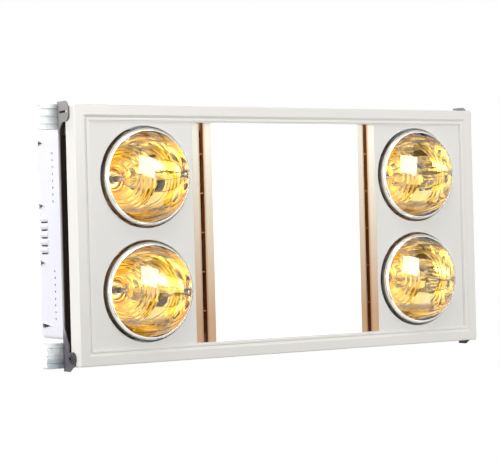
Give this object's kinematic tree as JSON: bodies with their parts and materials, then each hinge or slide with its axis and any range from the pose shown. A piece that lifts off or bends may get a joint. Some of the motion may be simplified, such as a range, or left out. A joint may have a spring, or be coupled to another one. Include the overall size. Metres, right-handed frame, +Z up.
{
  "type": "bathroom ceiling heater",
  "caption": "Ceiling heater with reflector heat lamps, a centrifugal exhaust fan and a light panel in a hinged rectangular fascia below a steel housing.",
  "frame": {"origin": "centre of the fascia's back rim, in the plane of the ceiling's underside", "axes": "+X along the fascia's length, +Y across it towards the hinged edge, +Z up into the ceiling"},
  "size_m": [0.712, 0.353, 0.198],
  "materials": {
    "fascia_moulding": "satin off-white",
    "plate_paint": "satin powder coat",
    "champagne_trim": "bead blasted and anodised",
    "opal_diffuser": "opal, matt front",
    "tray_aluminium": "mill finish",
    "board": "white solder mask",
    "light_chip": "phosphor",
    "driver_case": "matt",
    "housing_paint": "light powder coat",
    "bracket_paint": "dark grey coat",
    "galvanised": "galvanised",
    "aluminised": "aluminised",
    "spring_steel": "bright",
    "zinc_screws": "zinc plated",
    "lamp_glass": "reflector lamp with a clear face",
    "lamp_brass": "nickelled brass",
    "lamp_mount": "lead glass stem with tungsten",
    "ceramic": "glazed porcelain",
    "scroll_plastic": "heat resistant moulding",
    "impeller_plastic": "moulded",
    "motor_can": "black enamel",
    "shaft_steel": "ground",
    "spigot_plastic": "moulded",
    "flap_plastic": "moulded",
    "box_plastic": "flame retardant moulding",
    "gland_plastic": "moulded",
    "capacitor_can": "moulded can",
    "cutout_phenolic": "phenolic"
  },
  "bodies": {
    "housing": {"bracket_screws": "zinc_screws", "cable_gland": "gland_plastic", "duct_spigot": "spigot_plastic", "fan_motor": "motor_can", "fan_scroll": "scroll_plastic", "front_mounting_rail": "galvanised", "hinge_screws": "zinc_screws", "holder_screws": "zinc_screws", "housing_tray": "housing_paint", "inlet_ring": "scroll_plastic", "lamp_cap_1": "lamp_brass", "lamp_cap_2": "lamp_brass", "lamp_cap_3": "lamp_brass", "lamp_cap_4": "lamp_brass", "lamp_filament_1": "lamp_mount", "lamp_filament_2": "lamp_mount", "lamp_filament_3": "lamp_mount", "lamp_filament_4": "lamp_mount", "lamp_glass_1": "lamp_glass", "lamp_glass_2": "lamp_glass", "lamp_glass_3": "lamp_glass", "lamp_glass_4": "lamp_glass", "lampholder_1": "ceramic", "lampholder_2": "ceramic", "lampholder_3": "ceramic", "lampholder_4": "ceramic", "left_catch_spring": "spring_steel", "left_end_bracket": "bracket_paint", "left_heat_shield": "aluminised", "left_lamp_bridge": "galvanised", "motor_plate": "galvanised", "motor_screws": "zinc_screws", "rear_mounting_rail": "galvanised", "right_catch_spring": "spring_steel", "right_end_bracket": "bracket_paint", "right_heat_shield": "aluminised", "right_lamp_bridge": "galvanised", "run_capacitor": "capacitor_can", "shelf_rivets": "zinc_screws", "spigot_screws": "zinc_screws", "terminal_block": "gland_plastic", "terminal_box": "box_plastic", "terminal_cover": "box_plastic", "thermal_cutout": "cutout_phenolic"},
    "hinged_fascia": {"fascia_frame": "fascia_moulding", "left_lamp_plate": "plate_paint", "right_lamp_plate": "plate_paint", "left_slot_trim": "champagne_trim", "right_slot_trim": "champagne_trim", "light_diffuser": "opal_diffuser", "light_tray": "tray_aluminium", "light_board": "board", "light_chips": "light_chip", "light_driver": "driver_case", "plate_screws": "zinc_screws", "light_screws": "zinc_screws"},
    "fan_rotor": {"impeller": "impeller_plastic", "fan_shaft": "shaft_steel"},
    "duct_damper": {"damper_flap": "flap_plastic", "damper_spindle": "shaft_steel"}
  },
  "joints": [
    {"name": "fascia_hinge", "type": "hinge", "parent": "housing", "child": "hinged_fascia", "pos_m": [0, 0.1595, -0.0054], "axis": [1, 0, 0], "range_deg": [0, 90]},
    {"name": "fan_spin", "type": "hinge", "parent": "housing", "child": "fan_rotor", "pos_m": [0, 0.015, 0.1], "axis": [0, 0, 1], "continuous": true},
    {"name": "damper_swing", "type": "hinge", "parent": "housing", "child": "duct_damper", "pos_m": [0.08, -0.15, 0.1075], "axis": [-1, 0, 0], "range_deg": [0, 75]}
  ]
}
